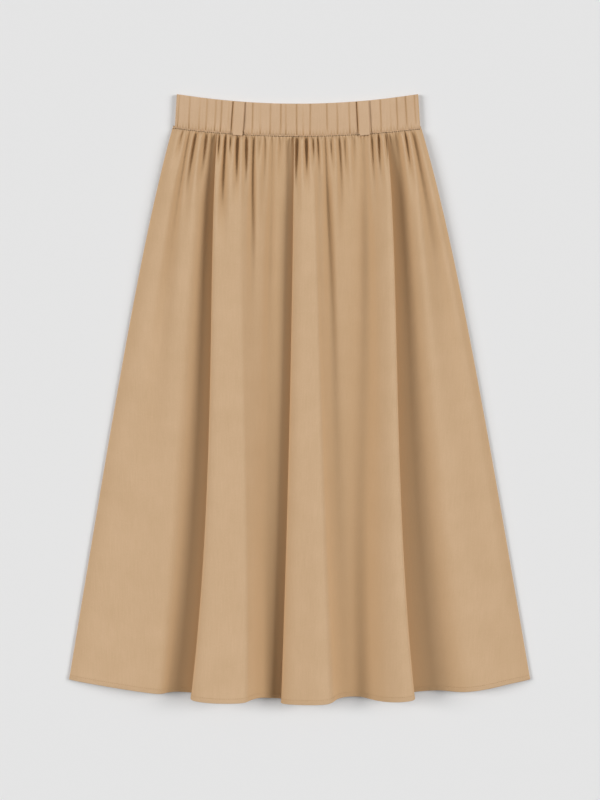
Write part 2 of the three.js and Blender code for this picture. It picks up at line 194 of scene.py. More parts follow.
# A gather's place as a share of the waist seam, how far down it fades out, the share of the cloth's
# swell that it takes away, and its half width.
FRONT_GATHERS = np.array([
    (0.042, 44, 0.65, 2.6), (0.07, 330, 0.75, 4.4), (0.097, 100, 0.85, 3.4), (0.135, 64, 0.88, 3.1),
    (0.162, 40, 0.5, 2.2), (0.19, 44, 0.7, 2.5), (0.214, 95, 0.75, 3.4), (0.236, 36, 0.55, 2.2),
    (0.262, 64, 0.7, 2.9), (0.296, 64, 0.75, 2.9), (0.325, 160, 0.75, 3.8), (0.35, 40, 0.6, 2.2),
    (0.373, 80, 0.82, 3.1), (0.402, 300, 0.88, 4.6), (0.434, 66, 0.86, 3.1), (0.466, 64, 0.75, 2.7),
    (0.502, 66, 0.82, 3.1), (0.537, 58, 0.76, 3.1), (0.562, 44, 0.65, 2.3), (0.583, 60, 0.76, 2.9),
    (0.612, 340, 0.72, 4.6), (0.637, 48, 0.65, 2.3), (0.668, 110, 0.86, 3.4), (0.691, 76, 0.88, 3.1),
    (0.727, 60, 0.88, 3.1), (0.763, 320, 0.92, 5.0), (0.802, 76, 0.84, 3.3), (0.828, 60, 0.75, 2.9),
    (0.854, 48, 0.65, 2.4), (0.9, 60, 0.86, 3.4), (0.934, 76, 0.78, 3.0), (0.961, 330, 0.78, 3.6),
], dtype=[(column, float) for column in GATHER_COLUMNS])


def shared_out(places, density, count):
    """count places between the first and the last, closest together where the density is highest."""
    steps = (density[1:] + density[:-1]) / 2 * np.diff(places)
    total = np.concatenate([[0], np.cumsum(steps)])
    return np.interp(np.linspace(0, total[-1], count), total, places)


def spline_weights(places, rows):
    """Weights of the uniform cubic B-spline through a list of rows, as a matrix of places by rows. The list
    is carried on past each end by 2 x last - last but one, so that the curve starts and ends in a row."""
    first = np.minimum(places.astype(int), rows - 2)
    t = places - first
    four = np.stack([(1 - t) ** 3, 3 * t ** 3 - 6 * t ** 2 + 4, -3 * t ** 3 + 3 * t ** 2 + 3 * t + 1, t ** 3])
    weights = np.zeros((len(places), rows + 2))
    weights[np.arange(len(places))[:, None], first[:, None] + np.arange(4)] = four.T / 6
    weights[:, 1] += 2 * weights[:, 0]
    weights[:, 2] -= weights[:, 0]
    weights[:, -2] += 2 * weights[:, -1]
    weights[:, -3] -= weights[:, -1]
    return weights[:, 1:-1]


def rise(x, middle, climb, half):
    """A parabola across the skirt: middle + climb * (x / half) squared."""
    return middle + climb * (x / half) ** 2


def side_x(side, down):
    """Distance of a side seam from the middle line:
    waist + flare * down + spring * (1 - exp(-length / over))."""
    waist, flare, spring, over = SIDES[side]
    return waist + flare * down + spring * (1 - np.exp(-down * PANEL_LENGTH / over))


def fold_lines(folds, low, side_low, hem_lift, down):
    """The fold lines of a panel at shares down its length, as rows of x, y, lowest level, lift and the x at
    the waist. A line's share of the width is the parabola through its waist, mid and hem values, and its y
    and lift run straight from the waist to the hem."""
    down = down[:, None]
    waist, mid, hem = (folds[column][None] for column in ("waist", "mid", "hem"))
    bend = 2 * (waist + hem) - 4 * mid
    share = waist + (hem - waist - bend) * down + bend * down ** 2
    left, right = -side_x("left", down), side_x("right", down)
    waist_x = waist * (side_x("left", 0) + side_x("right", 0)) - side_x("left", 0)
    hem_y = rise((2 * hem - 1) * HEM_HALF, HEM_Y, HEM_RISE, HEM_HALF) - folds["drop"] + hem_lift
    y = rise(waist_x, SEAM_Y, SEAM_RISE, SEAM_HALF) * (1 - down) + hem_y * down
    level = np.where((waist == 0) | (waist == 1), side_low, low)
    lift = folds["near"] * (1 - down) + folds["far"] * down
    return np.stack(np.broadcast_arrays(left + (right - left) * share, y, level, lift, waist_x), axis=-1)


def gathered(gathers, waist_x, length):
    """What the gathers leave of the cloth's swell: the product of 1 - cut * exp(-(length / reach)^2)
    * exp(-(distance / half width)^2), where a gather widens as it fades."""
    left = np.ones_like(waist_x)
    for gather in gathers:
        passed = length / gather["reach"]
        at = gather["at"] * (side_x("left", 0) + side_x("right", 0)) - side_x("left", 0)
        away = (waist_x - at) / (gather["half"] * (1 + 0.6 * passed))
        left *= 1 - gather["cut"] * np.exp(-passed ** 2 - away ** 2)
    return left


def cloth_normals(points):
    """Unit normals of a grid of points, from the cross product of its two directions."""
    down, across = np.gradient(points, axis=(0, 1))
    normals = np.cross(down, across)
    return normals / np.linalg.norm(normals, axis=-1, keepdims=True)


def panel_surface(folds, gathers, low, side_low, hem_lift, rows, columns):
    """The middle surface of a panel: the spline across its fold lines in every row, lifted by
    lift * swell * gathers. The swell is PUFF_SHARE * (1 - exp(-(length / RISE_LENGTH)^RISE_POWER)) and the
    rest * (1 - exp(-length / FOLD_RISE)). Returns the points, the x at the waist and the length from the
    seam."""
    length = rows[:, None]
    weights = spline_weights(columns, len(folds))
    lines = fold_lines(folds, low, side_low, hem_lift, rows / PANEL_LENGTH)
    x, y, level, lift, waist_x = np.moveaxis(np.einsum("ck,rkv->rcv", weights, lines), -1, 0)
    puffed = 1 - np.exp(-(length / RISE_LENGTH) ** RISE_POWER)
    swell = PUFF_SHARE * puffed + (1 - PUFF_SHARE) * (1 - np.exp(-length / FOLD_RISE))
    z = level + lift * swell * gathered(gathers, waist_x, length)
    return np.stack([x, y, z], axis=-1), waist_x, length


def panel_rows(count):
    """Lengths from the waist seam to the hem, close together at both ends."""
    fine = np.linspace(0, PANEL_LENGTH, 4000)
    density = 1 / (0.9 + 0.06 * fine) + 1 / (0.75 + 0.08 * (PANEL_LENGTH - fine)) + 1 / 20
    return shared_out(fine, density, count)


def panel_columns(folds, gathers, low, count):
    """Places across a panel, shared out by the cloth's width at the waist and at the hem."""
    fine = np.linspace(0, len(folds) - 1, 4000)
    points = panel_surface(folds, gathers, low, low, 0, np.array([30.0, PANEL_LENGTH]), fine)[0]
    width = np.linalg.norm(np.gradient(points, fine, axis=1), axis=-1)
    return shared_out(fine, width[0] / width[0].sum() + 0.8 * width[1] / width[1].sum(), count)


def with_hem(points, inside):
    """Adds the turned hem to a panel: the last rows again, going back up, on the inside of the cloth.
    inside is 1 where that is above the panel and -1 where it is below."""
    normals = cloth_normals(points)
    up_from_edge = points[-1:, :, 1] - points[:, :, 1]
    turned = np.abs(np.median(up_from_edge, axis=1)) < HEM_TURN
    flap = (points + inside * HEM_FOLD * normals)[turned][::-1]
    edge = points[-1:] + inside * HEM_FOLD / 2 * normals[-1:]
    edge[..., 1] -= HEM_FOLD / 2
    return np.concatenate([points, edge, flap])


def fold_shade(points, outward=1):
    """How deep each point lies between the folds on its left and right: the mean of the sines of the two
    horizons, where a horizon is the steepest line from the point up to the cloth within SHADE_REACH columns.
    The cloth's colour is darkened by it as painted shade. outward is 1 where the seen side of the cloth faces
    up and -1 where it faces down."""
    x, z = points[..., 0], outward * points[..., 2]
    right, left = np.zeros_like(x), np.zeros_like(x)
    for step in range(1, SHADE_REACH):
        climb = z[:, step:] - z[:, :-step]
        sine = climb / (np.hypot(x[:, step:] - x[:, :-step], climb) + 1e-6)
        right[:, :-step] = np.maximum(right[:, :-step], sine)
        left[:, step:] = np.maximum(left[:, step:], -sine)
    return (right + left) / 2


def hem_step(length):
    """How far the doubled hem stands out: 0.2 mm, stepping down over 1 mm at the stitch line."""
    return 0.2 / (1 + np.exp((PANEL_LENGTH - length - HEM_STITCH) / 0.5))[..., None]


def flat_places(points):
    """Where each point lies in the flat cloth, in metres: across, the length along its row from the middle,
    and down, the length along its column above the hem edge."""
    across = np.linalg.norm(np.diff(points, axis=1), axis=-1).cumsum(axis=1)
    across = np.pad(across, ((0, 0), (1, 0)))
    middle = points.shape[1] // 2
    down = np.linalg.norm(np.diff(points[:, middle], axis=0), axis=-1)
    down = np.pad(down.cumsum(), (1, 0))
    above = down[np.argmin(points[:, middle, 1])] - down
    return np.stack(np.broadcast_arrays(across - across[:, middle:middle + 1], above[:, None]), axis=-1) * MM


def cloth_sheet(name, points, places, shade, thickness, material):
    """A sheet of cloth through a grid of points, given as rows from top to bottom with columns from left to
    right. places holds each point's place in the flat cloth and becomes the UV map, and shade how deep it
    lies between folds, which the material paints as shade."""
    rows, columns = points.shape[:2]
    at = np.arange(rows * columns).reshape(rows, columns)
    faces = np.stack([at[:-1, :-1], at[1:, :-1], at[1:, 1:], at[:-1, 1:]], axis=-1).reshape(-1, 4)
    mesh = bpy.data.meshes.new(name)
    mesh.from_pydata((points * MM).reshape(-1, 3).tolist(), [], faces.tolist())
    mesh.uv_layers.new(name="flat_cloth").data.foreach_set("uv", places.reshape(-1, 2)[faces.ravel()].ravel())
    mesh.attributes.new("painted_fold_shade", "FLOAT", "POINT").data.foreach_set("value", shade.ravel())
    mesh.shade_smooth()
    mesh.materials.append(material)
    sheet = add_object(name, mesh)
    wall = sheet.modifiers.new("thickness", "SOLIDIFY")
    wall.thickness = thickness * MM
    wall.offset = 0
    return sheet


def cotton_twill(name, colour, shade, deep, hem_stitch=None):
    """Brushed cotton twill, piece-dyed camel: matt, with a soft nap. Diagonal twill lines and slubs along
    the threads give a fine grain, and the dye is a little uneven. Painted shade darkens the colour towards
    deep down in the folds. Reads the flat cloth's UV map and the mesh attribute that holds the painted shade."""
    material, tree, output = new_material(name)
    flat = add_node(tree, "ShaderNodeUVMap", uv_map="flat_cloth").outputs["UV"]

    # The dye: broad soft clouds 45 mm across, and slubs 1.4 mm wide and 30 mm long down the cloth.
    clouds = add_node(tree, "ShaderNodeTexNoise",
                      {"Vector": flat, "Scale": 22.0, "Detail": 3.0, "Roughness": 0.55})
    slub_map = add_node(tree, "ShaderNodeMapping", {"Vector": flat, "Scale": (700.0, 34.0, 1.0)})
    slubs = add_node(tree, "ShaderNodeTexNoise",
                     {"Vector": slub_map.outputs["Vector"], "Scale": 1.0, "Detail": 2.0})
    grain = add_node(tree, "ShaderNodeTexNoise",
                     {"Vector": flat, "Scale": 420.0, "Detail": 2.0, "Roughness": 0.6})
    uneven = add_node(tree, "ShaderNodeMath", {0: clouds.outputs["Fac"], 1: 0.45}, operation="MULTIPLY")
    uneven = add_node(tree, "ShaderNodeMath", {0: slubs.outputs["Fac"], 1: 0.3, 2: uneven.outputs[0]},
                      operation="MULTIPLY_ADD")
    uneven = add_node(tree, "ShaderNodeMath", {0: grain.outputs["Fac"], 1: 0.25, 2: uneven.outputs[0]},
                      operation="MULTIPLY_ADD")
    dye = add_node(tree, "ShaderNodeMapRange",
                   {"Value": uneven.outputs[0], "From Min": 0.36, "From Max": 0.64})
    tone = add_node(tree, "ShaderNodeMix", {0: dye.outputs["Result"], 6: linear(shade), 7: linear(colour)},
                    data_type="RGBA")

    # Painted shade: the colour darkens by up to a quarter down between two folds, by the mesh attribute that
    # fold_shade worked out from the folds' horizons.
    depth = add_node(tree, "ShaderNodeAttribute", attribute_name="painted_fold_shade").outputs["Fac"]
    depth = add_node(tree, "ShaderNodeMapRange", {"Value": depth, "From Min": 0.07, "From Max": 0.66})
    tone = add_node(tree, "ShaderNodeMix", {0: depth.outputs["Result"], 6: tone.outputs[2], 7: linear(deep)},
                    data_type="RGBA")

    # The weave: twill lines 0.9 mm apart, twice as coarse as the real ones so that they show at all.
    twill_map = add_node(tree, "ShaderNodeMapping", {"Vector": flat, "Rotation": (0, 0, math.radians(62))})
    twill = add_node(tree, "ShaderNodeTexWave",
                     {"Vector": twill_map.outputs["Vector"], "Scale": 1 / (0.9 * MM) / (2 * math.pi) * 2,
                      "Distortion": 1.5, "Detail": 1.0, "Detail Scale": 1.0})
    relief = add_node(tree, "ShaderNodeMath", {0: twill.outputs["Fac"], 1: 0.35}, operation="MULTIPLY")
    relief = add_node(tree, "ShaderNodeMath", {0: slubs.outputs["Fac"], 1: 0.8, 2: relief.outputs[0]},
                      operation="MULTIPLY_ADD")
    relief = add_node(tree, "ShaderNodeMath", {0: grain.outputs["Fac"], 1: 0.6, 2: relief.outputs[0]},
                      operation="MULTIPLY_ADD")
    if hem_stitch:
        relief = hem_relief(tree, flat, relief, hem_stitch)
    bump = add_node(tree, "ShaderNodeBump",
                    {"Height": relief.outputs[0], "Strength": 0.55, "Distance": 0.16 * MM})
    shader = add_node(tree, "ShaderNodeBsdfPrincipled",
                      {"Base Color": tone.outputs[2], "Normal": bump.outputs["Normal"], "Roughness": 0.9,
                       "Specular IOR Level": 0.25, "Sheen Weight": 0.12, "Sheen Roughness": 0.5,
                       "Sheen Tint": linear("#E8D2B8")})
    tree.links.new(shader.outputs["BSDF"], output.inputs["Surface"])
    return material


def hem_relief(tree, flat, relief, stitch):
    """Adds the stitched hem to a relief: a groove along the stitch line, stitch metres above the edge, a
    second groove half as far up, and small puckers 5 mm apart from the line to the edge."""
    above = add_node(tree, "ShaderNodeSeparateXYZ", {"Vector": flat}).outputs["Y"]
    upper = add_node(tree, "ShaderNodeMath", {0: above, 1: stitch, 2: 0.7 * MM}, operation="COMPARE")
    lower = add_node(tree, "ShaderNodeMath", {0: above, 1: stitch * 0.5, 2: 0.6 * MM}, operation="COMPARE")
    lines = add_node(tree, "ShaderNodeMath", {0: upper.outputs[0], 1: lower.outputs[0]}, operation="ADD")
    near = add_node(tree, "ShaderNodeMapRange",
                    {"Value": above, "From Min": stitch * 1.7, "From Max": stitch * 0.6},
                    interpolation_type="SMOOTHSTEP")
    pucker_map = add_node(tree, "ShaderNodeMapping", {"Vector": flat, "Scale": (230.0, 60.0, 1.0)})
    puckers = add_node(tree, "ShaderNodeTexNoise",
                       {"Vector": pucker_map.outputs["Vector"], "Scale": 1.0, "Detail": 1.0})
    raised = add_node(tree, "ShaderNodeMath", {0: puckers.outputs["Fac"], 1: near.outputs["Result"]},
                      operation="MULTIPLY")
    raised = add_node(tree, "ShaderNodeMath", {0: raised.outputs[0], 1: 6.0, 2: relief.outputs[0]},
                      operation="MULTIPLY_ADD")
    return add_node(tree, "ShaderNodeMath", {0: lines.outputs[0], 1: -3.5, 2: raised.outputs[0]},
                    operation="MULTIPLY_ADD")


# The third colour is painted shade, which the cloth darkens to down between the folds.
SKIRT_COLOUR, SKIRT_SHADE, SKIRT_PAINTED_SHADE = "#D2B18D", "#CAA984", "#BC976D"
skirt_cloth = cotton_twill("skirt_cotton_twill", SKIRT_COLOUR, SKIRT_SHADE, SKIRT_PAINTED_SHADE,
                           hem_stitch=HEM_STITCH * MM)

front_rows = panel_rows(98)
front_columns = panel_columns(FRONT_FOLDS, FRONT_GATHERS, FRONT_LOW, 420)
front, waist_x, length = panel_surface(
    FRONT_FOLDS, FRONT_GATHERS, FRONT_LOW, SIDE_LOW, 0, front_rows, front_columns)

# The belt loops hold the swell down, the gathering stitch puckers the cloth just below the seam, and the
# cloth has a soft uneven lie.
across_sides = np.sin(np.pi * (waist_x + side_x("left", 0)) / (side_x("left", 0) + side_x("right", 0)))
below_seam = 1 - np.exp(-(length / 1.4) ** 2)
puckers = np.sin(2 * np.pi * (waist_x + 1.3 * np.sin(waist_x / 11)) / PUCKER_WIDTH)
held = sum(np.exp(-((waist_x - x) / 8.5) ** 4) for x in LOOP_FEET) * np.exp(-(length / 3.4) ** 4)
front[..., 2] = FRONT_LOW + (front[..., 2] - FRONT_LOW) * (1 - 0.85 * held)
fading = np.exp(-(length / PUCKER_LENGTH) ** 1.5)
uneven_lie = np.sin(waist_x / 4.7 + 2 * np.sin(waist_x / 21) + length / 260)
front[..., 2] += PUCKER * puckers * below_seam * fading * across_sides ** 0.3
front[..., 2] += 0.3 * uneven_lie * across_sides * below_seam

front += cloth_normals(front) * hem_step(length)
front_outside = front + cloth_normals(front) * CLOTH / 2
tucked = front[:1] + [0, TUCK, -0.6]
tucked[..., 0] -= 3.5 * np.sign(tucked[..., 0]) * (2 * np.abs(front_columns / front_columns[-1] - 0.5)) ** 30
front = with_hem(np.concatenate([tucked, front]), inside=-1)

# The sides turn down to the back panel, where the side seams are.
side_turn = np.array([[0.45, 0, -0.75], [0.15, 0, -1.45]])
left_turn = front[:, :1] + side_turn[::-1] * [-1, 1, 1]
right_turn = front[:, -1:] + side_turn
front = np.concatenate([left_turn, front, right_turn], axis=1)

front_panel = cloth_sheet("front_panel", front, flat_places(front), fold_shade(front), CLOTH, skirt_cloth)
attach(front_panel, "root")
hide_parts("skirt_front")

# Hem stitches: a row of straight stitches in matching polyester thread, 2.2 mm long, which hold the
# turned hem of the front panel.
STITCH_PITCH, STITCH_LENGTH, THREAD = 2.9, 2.2, 0.5
THREAD_COLOUR = "#B9966C"


def row_at(grid, rows, place):
    """The line of points that crosses a grid at a place between its rows."""
    after = np.searchsorted(rows, place)
    part = (place - rows[after - 1]) / (rows[after] - rows[after - 1])
    return grid[after - 1] * (1 - part) + grid[after] * part


def stitch_row(name, line, up, material, pitch=STITCH_PITCH, length=STITCH_LENGTH, breadth=THREAD):
    """A row of stitches along a line of points, lying on the side that up points to. A stitch is a spindle of
    two rings with five corners and a point at each end, set along the line every pitch."""
    along = np.pad(np.linalg.norm(np.diff(line, axis=0), axis=1).cumsum(), (1, 0))
    middles = np.arange(pitch / 2, along[-1] - pitch / 2, pitch)
    at = np.stack([np.interp(middles, along, line[:, k]) for k in range(3)], axis=1)
    raised = np.stack([np.interp(middles, along, up[:, k]) for k in range(3)], axis=1)
    ahead = np.stack([np.interp(middles + 0.5, along, line[:, k]) for k in range(3)], axis=1) - at
    ahead /= np.linalg.norm(ahead, axis=1, keepdims=True)
    side = np.cross(raised, ahead)
    side /= np.linalg.norm(side, axis=1, keepdims=True)
    raised = np.cross(ahead, side)
    turn = np.arange(5) * 2 * np.pi / 5
    ring = np.stack([np.cos(turn) * breadth / 2, 0.1 + np.sin(turn) * breadth * 0.36], axis=1)
    places = np.concatenate([
        [[-length / 2, 0, -0.15]],
        np.pad(ring, ((0, 0), (1, 0)), constant_values=-length * 0.28),
        np.pad(ring, ((0, 0), (1, 0)), constant_values=length * 0.28),
        [[length / 2, 0, -0.15]],
    ])
    points = at[:, None] + np.einsum("vk,skc->svc", places, np.stack([ahead, side, raised], axis=1))
    near, far, step = np.arange(1, 6), np.arange(6, 11), np.roll(np.arange(5), -1)
    quads = np.stack([near, near[step], far[step], far], axis=1)
    tips = np.concatenate([np.stack([near[step], near, 0 * near], axis=1),
                           np.stack([far, far[step], 0 * far + 11], axis=1)])
    first = np.arange(len(at))[:, None, None] * len(places)
    faces = (first + quads).reshape(-1, 4).tolist() + (first + tips).reshape(-1, 3).tolist()
    mesh = bpy.data.meshes.new(name)
    mesh.from_pydata((points * MM).reshape(-1, 3).tolist(), [], faces)
    mesh.shade_smooth()
    mesh.materials.append(material)
    return add_object(name, mesh)


def spun_polyester(name, colour):
    """Spun polyester sewing thread in the colour given: round, slightly glossy, with two plies that
    twist about each other."""
    material, tree, output = new_material(name)
    place = add_node(tree, "ShaderNodeTexCoord").outputs["Object"]
    plies = add_node(tree, "ShaderNodeTexNoise", {"Vector": place, "Scale": 2400.0, "Detail": 1.0})
    bump = add_node(tree, "ShaderNodeBump",
                    {"Height": plies.outputs["Fac"], "Strength": 0.5, "Distance": 0.1 * MM})
    shader = add_node(tree, "ShaderNodeBsdfPrincipled",
                      {"Base Color": linear(colour), "Normal": bump.outputs["Normal"], "Roughness": 0.6,
                       "Specular IOR Level": 0.4})
    tree.links.new(shader.outputs["BSDF"], output.inputs["Surface"])
    return material


def sewn_on(piece):
    """Stitches move with the skirt."""
    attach(piece, "root")
    return piece


thread = spun_polyester("matching_thread", THREAD_COLOUR)
hem_line = row_at(front_outside, front_rows, PANEL_LENGTH - HEM_STITCH)
hem_up = row_at(cloth_normals(front_outside), front_rows, PANEL_LENGTH - HEM_STITCH)
front_hem_stitches = sewn_on(stitch_row("front_hem_stitches", hem_line, hem_up, thread))

# The waist seam: short tight stitches pull the gathers together in a dashed line under the waistband. They
# are drawn dark brown and at twice the thickness of real thread: painted shadow along the gathered seam as
# well as the stitches themselves.
seam_thread_and_painted_shadow = spun_polyester("waist_seam_thread_and_painted_shadow", "#54391D")
seam_line = row_at(front_outside, front_rows, 0.7)
seam_up = np.tile([0, 0, 1], (len(seam_line), 1))
front_seam_stitches = sewn_on(stitch_row("front_seam_stitches", seam_line, seam_up, seam_thread_and_painted_shadow,
                                         pitch=2.6, length=2.0, breadth=1.1))

# ---- Back panel ------------------------------------------------------------------------------------
# The back of the skirt, cut like the front. It lies flat on the card under the front panel, so its folds
# and gathers are pressed low, and its hem ends a little higher than the front one.
BACK_LOW = 0.3  # lowest level of its middle surface
BACK_HEM_LIFT = 4  # how much higher its hem ends
BACK_FOLDS = np.array([
    (0.0, 0.0, 0.0, 0, 0, 0),  # left side seam
    (0.08, 0.09, 0.09, 0, 0, 0),
    (0.16, 0.17, 0.18, 0.2, 0, 0),
    (0.23, 0.22, 0.21, 2.2, 1.8, 0),  # first low fold
    (0.3, 0.27, 0.24, 0.2, 0, 0),
    (0.37, 0.36, 0.36, 0.2, 0, 0),
    (0.44, 0.42, 0.4, 2.2, 1.4, 0),  # second
    (0.5, 0.48, 0.45, 0.2, 0, 0),
    (0.57, 0.58, 0.57, 0.2, 0, 0),
    (0.64, 0.63, 0.61, 2.2, 1.8, 0),  # third
    (0.71, 0.68, 0.65, 0.2, 0, 0),
    (0.78, 0.77, 0.76, 2.2, 1.5, 0),  # fourth
    (0.85, 0.83, 0.82, 0.2, 0, 0),
    (0.92, 0.91, 0.91, 0, 0, 0),
    (1.0, 1.0, 1.0, 0, 0, 0),  # right side seam
], dtype=[(column, float) for column in FOLD_COLUMNS])
BACK_GATHERS = np.array([
    (0.07, 120, 0.8, 3.0), (0.103, 40, 0.6, 2.4), (0.141, 90, 0.9, 3.0), (0.168, 36, 0.6, 2.4),
    (0.197, 150, 0.9, 3.4), (0.249, 50, 0.7, 2.6), (0.275, 44, 0.6, 2.6), (0.318, 120, 0.9, 3.0),
    (0.352, 30, 0.6, 2.2), (0.384, 70, 0.8, 2.8), (0.427, 50, 0.7, 2.6), (0.471, 170, 0.9, 3.4),
    (0.498, 40, 0.6, 2.4), (0.54, 80, 0.8, 2.8), (0.573, 46, 0.7, 2.4), (0.61, 130, 0.9, 3.2),
    (0.662, 44, 0.7, 2.4), (0.688, 90, 0.8, 2.8), (0.731, 36, 0.6, 2.2), (0.757, 150, 0.9, 3.2),
    (0.806, 60, 0.8, 2.6), (0.842, 42, 0.6, 2.4), (0.871, 110, 0.9, 3.0), (0.915, 50, 0.7, 2.4),
    (0.946, 90, 0.8, 2.8),
], dtype=[(column, float) for column in GATHER_COLUMNS])
NO_GATHERS = BACK_GATHERS[:0]

back_rows = panel_rows(96)
back_columns = panel_columns(BACK_FOLDS, NO_GATHERS, BACK_LOW, 400)
back, waist_x, length = panel_surface(
    BACK_FOLDS, NO_GATHERS, BACK_LOW, BACK_LOW, BACK_HEM_LIFT, back_rows, back_columns)

# Its gathers are creases that rise into the skirt, up to 0.9 mm high, and its puckers do the same.
across_sides = np.sin(np.pi * (waist_x + side_x("left", 0)) / (side_x("left", 0) + side_x("right", 0)))
creases = 1 - gathered(BACK_GATHERS, waist_x, length)
below_seam = 1 - np.exp(-(length / 2.5) ** 2)
puckers = 1 + np.sin(2 * np.pi * (waist_x + 1.3 * np.sin(waist_x / 9)) / PUCKER_WIDTH)
back[..., 2] += 0.9 * creases * below_seam * across_sides ** 0.3
back[..., 2] += 0.25 * puckers * below_seam * np.exp(-(length / PUCKER_LENGTH) ** 1.5) * across_sides ** 0.3
back -= cloth_normals(back) * hem_step(length) * 0.3
back_outside = back - cloth_normals(back) * CLOTH / 2
back = with_hem(np.concatenate([back[:1] + [0, TUCK, 0.4], back]), inside=1)

back_panel = cloth_sheet("back_panel", back, flat_places(back), fold_shade(back, -1), CLOTH, skirt_cloth)
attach(back_panel, "root")
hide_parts("skirt_back")

hem_line = row_at(back_outside, back_rows, PANEL_LENGTH - HEM_STITCH)
hem_up = -row_at(cloth_normals(back_outside), back_rows, PANEL_LENGTH - HEM_STITCH)
back_hem_stitches = sewn_on(stitch_row("back_hem_stitches", hem_line, hem_up, thread))

# ---- Waistband -------------------------------------------------------------------------------------
# An elastic casing: a strip of the same cloth folded over 40 mm elastic, in two halves that lie on each
# other. The relaxed elastic draws the cloth up into upright creases, uneven in width and depth.
BAND_TOP, BAND_TOP_RISE, BAND_OFF_CENTRE = 391.2, 12.8, -2.6
BAND_HALF_TOP, BAND_HALF_SEAM = 160.2, 162.8
BAND_FACE = 4.7  # level of the front half's outer face between the creases
BAND_INSIDE = 3.15  # and of its inner layer
BAND_PUFF, BACK_BAND_PUFF = 1.35, 0.5  # how far the cloth swells between creases; the back is pressed flat
CREASE_GROOVE, CREASE_LIP = 1.15, 5.0  # half width of a crease, and the length of the swell beside it
CREASE_COLUMNS = ("at", "lean", "top", "foot")
# A crease's place as a share of the width, how much further right it stands at the seam, and its depth
# at the upper edge and at the seam as a share of the cloth's swell.
BAND_CREASES = np.array([
    (0.011, 0.0, 0.6, 0.8), (0.055, 0.6, 0.6, 0.9), (0.098, -0.5, 0.3, 0.7), (0.127, 0.0, 0.6, 0.7),
    (0.164, -0.4, 0.6, 0.8), (0.188, -0.6, 0.8, 0.9), (0.218, 0.0, 0.3, 0.4), (0.235, -1.6, 1.5, 1.5),
    (0.2835, -1.4, 0.4, 0.4), (0.316, 0.0, 1.0, 0.9), (0.347, 0.4, 0.2, 0.5), (0.389, 0.0, 0.7, 0.8),
    (0.432, 0.0, 0.9, 0.9), (0.452, 0.5, 0.5, 0.7), (0.497, 0.0, 0.9, 0.9), (0.523, 0.3, 0.2, 0.5),
    (0.554, -0.8, 0.9, 0.7), (0.622, 0.0, 0.9, 0.9), (0.664, 0.5, 0.6, 0.8), (0.713, 0.4, 0.6, 0.8),
    (0.746, 1.0, 1.7, 1.7), (0.7985, 0.8, 0.3, 0.35), (0.843, 0.0, 0.9, 0.9), (0.882, 0.4, 0.2, 0.5),
    (0.91, 0.0, 1.0, 0.9), (0.947, 0.4, 1.0, 0.9), (0.984, 0.0, 0.8, 0.7),
], dtype=[(column, float) for column in CREASE_COLUMNS])
BACK_BAND_CREASES = np.array([
    (0.03, 0.3, 0.6, 0.8), (0.071, -0.4, 0.9, 0.7), (0.119, 0.0, 0.4, 0.8), (0.15, 0.5, 0.8, 0.9),
    (0.204, -0.3, 0.9, 0.9), (0.238, 0.0, 0.3, 0.6), (0.287, 0.6, 0.9, 0.8), (0.331, 0.0, 0.6, 0.9),
    (0.365, -0.5, 0.8, 0.8), (0.421, 0.0, 0.9, 1.0), (0.452, 0.3, 0.4, 0.6), (0.507, 0.0, 0.9, 0.8),
    (0.547, -0.6, 0.7, 0.9), (0.593, 0.0, 0.9, 0.9), (0.642, 0.4, 0.5, 0.7), (0.679, 0.0, 0.9, 0.9),
    (0.733, -0.3, 0.8, 0.9), (0.77, 0.0, 0.4, 0.7), (0.815, 0.5, 0.9, 0.9), (0.861, 0.0, 0.7, 0.8),
    (0.899, -0.4, 0.9, 0.7), (0.952, 0.0, 0.8, 0.9),
], dtype=[(column, float) for column in CREASE_COLUMNS])
# The band's third colour is painted shade, which its cloth darkens to down between the creases.
# The band's two dye colours are a touch lighter than the skirt's, as painted light on the same cloth.
BAND_COLOUR, BAND_SHADE, BAND_PAINTED_SHADE = "#D2B291", "#CAA987", "#BC976D"


def band_place(share, down):
    """A place on the waistband: straight across from its left to its right end, and straight down from the
    parabola of its upper edge to the parabola of the seam."""
    half = BAND_HALF_TOP + (BAND_HALF_SEAM - BAND_HALF_TOP) * down
    x = BAND_OFF_CENTRE + (2 * share - 1) * half
    top = rise(x - BAND_OFF_CENTRE, BAND_TOP, BAND_TOP_RISE, BAND_HALF_TOP)
    seam = rise(x, SEAM_Y + 0.3, SEAM_RISE, SEAM_HALF)
    return x, top + (seam - top) * down


def band_relief(creases, share, down):
    """Height of the ruched cloth, from 0 to about 1: each crease is a groove, exp(-(distance / half width)^2)
    deep, with a lip on its right that falls away over CREASE_LIP."""
    width = 2 * BAND_HALF_SEAM
    height = 0.45 + 0 * share * down
    for crease in creases:
        depth = crease["top"] + (crease["foot"] - crease["top"]) * down
        away = (share - crease["at"]) * width - crease["lean"] * down
        lip = np.exp(-np.maximum(away, 0) / CREASE_LIP) / (1 + np.exp(-away / 0.35))
        height = height + depth * (0.55 * lip - 0.9 * np.exp(-(away / CREASE_GROOVE) ** 2))
    ripple = np.sin(share * width / 1.45 + 2 * np.sin(share * width / 17) + 1.2 * down)
    pinch = np.exp(-((1 - down) / 0.16) ** 2)
    return height + 0.05 * ripple + 0.3 * pinch * np.sin(share * width * 2 * np.pi / 4.1 + np.sin(share * 40))


